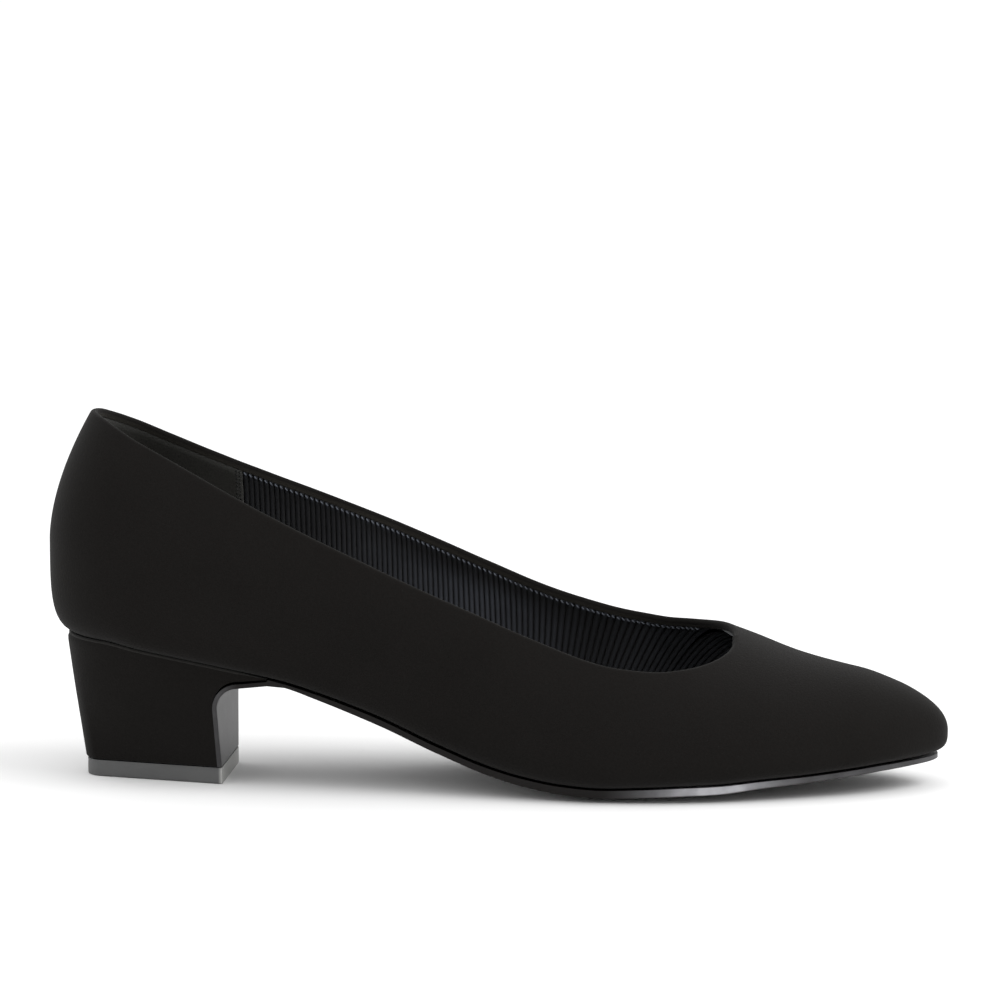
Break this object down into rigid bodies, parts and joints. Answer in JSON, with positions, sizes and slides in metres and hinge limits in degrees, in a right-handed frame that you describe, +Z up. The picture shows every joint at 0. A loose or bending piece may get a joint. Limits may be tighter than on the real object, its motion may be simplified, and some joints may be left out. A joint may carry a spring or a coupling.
{
  "type": "block heel pump",
  "caption": "Closed slip-on pump with an almond toe, a low topline and a wrapped block heel, for the right foot.",
  "frame": {"origin": "middle of the shoe's box, on the floor that it stands on", "axes": "+X from the heel to the toe, +Y to the inner side of the foot, +Z up"},
  "size_m": [0.246, 0.0814, 0.1006],
  "materials": {
    "nubuck": "matte black nubuck",
    "sock": "matte black lining leather",
    "sole_edge": "smooth black, half gloss",
    "lift": "matte dark grey"
  },
  "bodies": {
    "root": {"upper": "nubuck", "insole": "sock", "outsole": "sole_edge", "heel_block": "nubuck", "top_lift": "lift"}
  },
  "joints": []
}
